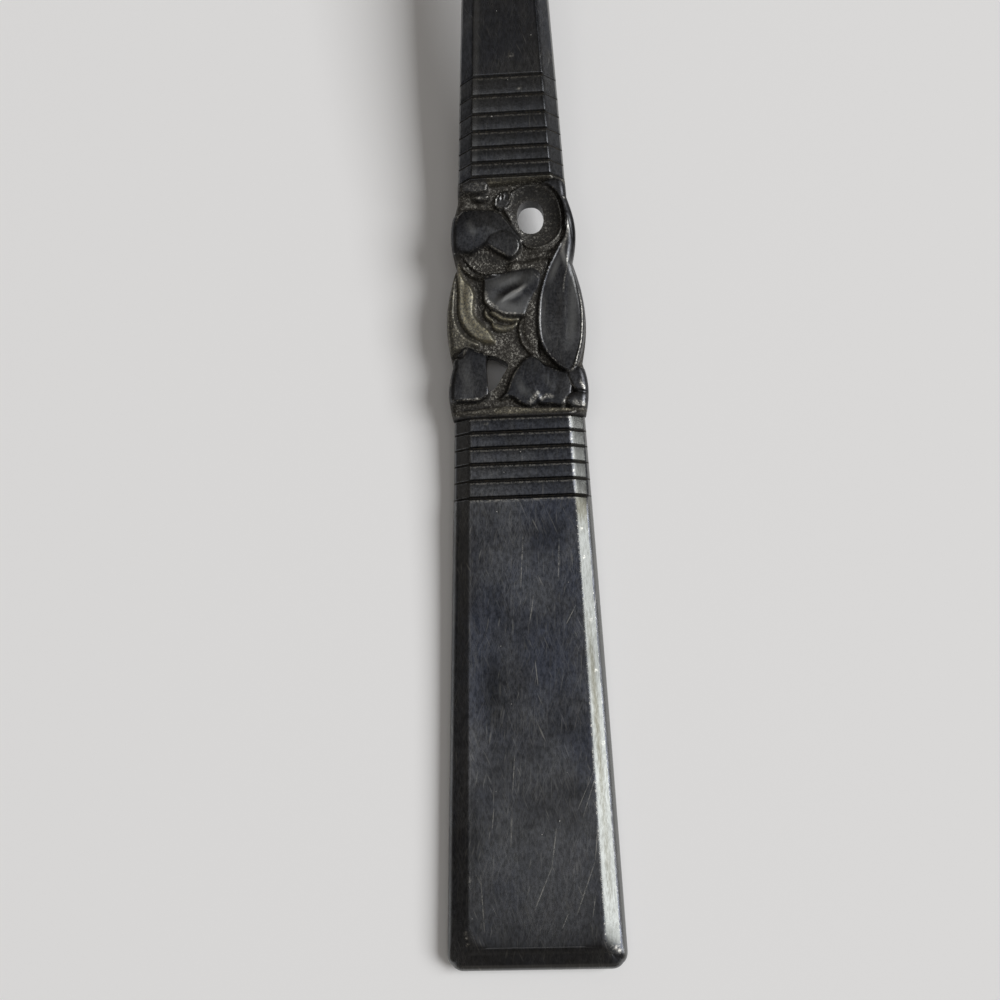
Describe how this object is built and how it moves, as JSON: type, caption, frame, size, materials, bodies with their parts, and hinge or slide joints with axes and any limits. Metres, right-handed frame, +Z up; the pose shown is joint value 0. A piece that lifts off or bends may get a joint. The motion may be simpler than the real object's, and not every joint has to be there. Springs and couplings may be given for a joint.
{
  "type": "jam spoon",
  "caption": "Table spoon with a broad shallow bowl, an arched stem, reeded bands, a pierced carved panel and a flared square-ended terminal.",
  "frame": {"origin": "middle of the box round the spoon, on the table that it lies on", "axes": "+Y from the handle's end to the tip of the bowl, +X to the right of the face, +Z up out of the bowl"},
  "size_m": [0.03, 0.1572, 0.009],
  "materials": {
    "tarnished_plate": "silver plate on nickel silver, nearly black with tarnish, worn bright along the bevels, with fine scratches",
    "reeded_plate": "tarnished silver plate, dirt in the grooves and worn ridges",
    "carved_plate": "tarnished silver plate, smooth leaves over a stippled ground with brown dirt",
    "bowl_plate": "tarnished silver plate with fine table scratches"
  },
  "bodies": {
    "root": {"terminal": "tarnished_plate", "lower_reeds": "reeded_plate", "carved_panel": "carved_plate", "upper_reeds": "reeded_plate", "stem": "tarnished_plate", "neck": "tarnished_plate", "bowl": "bowl_plate"}
  },
  "joints": []
}
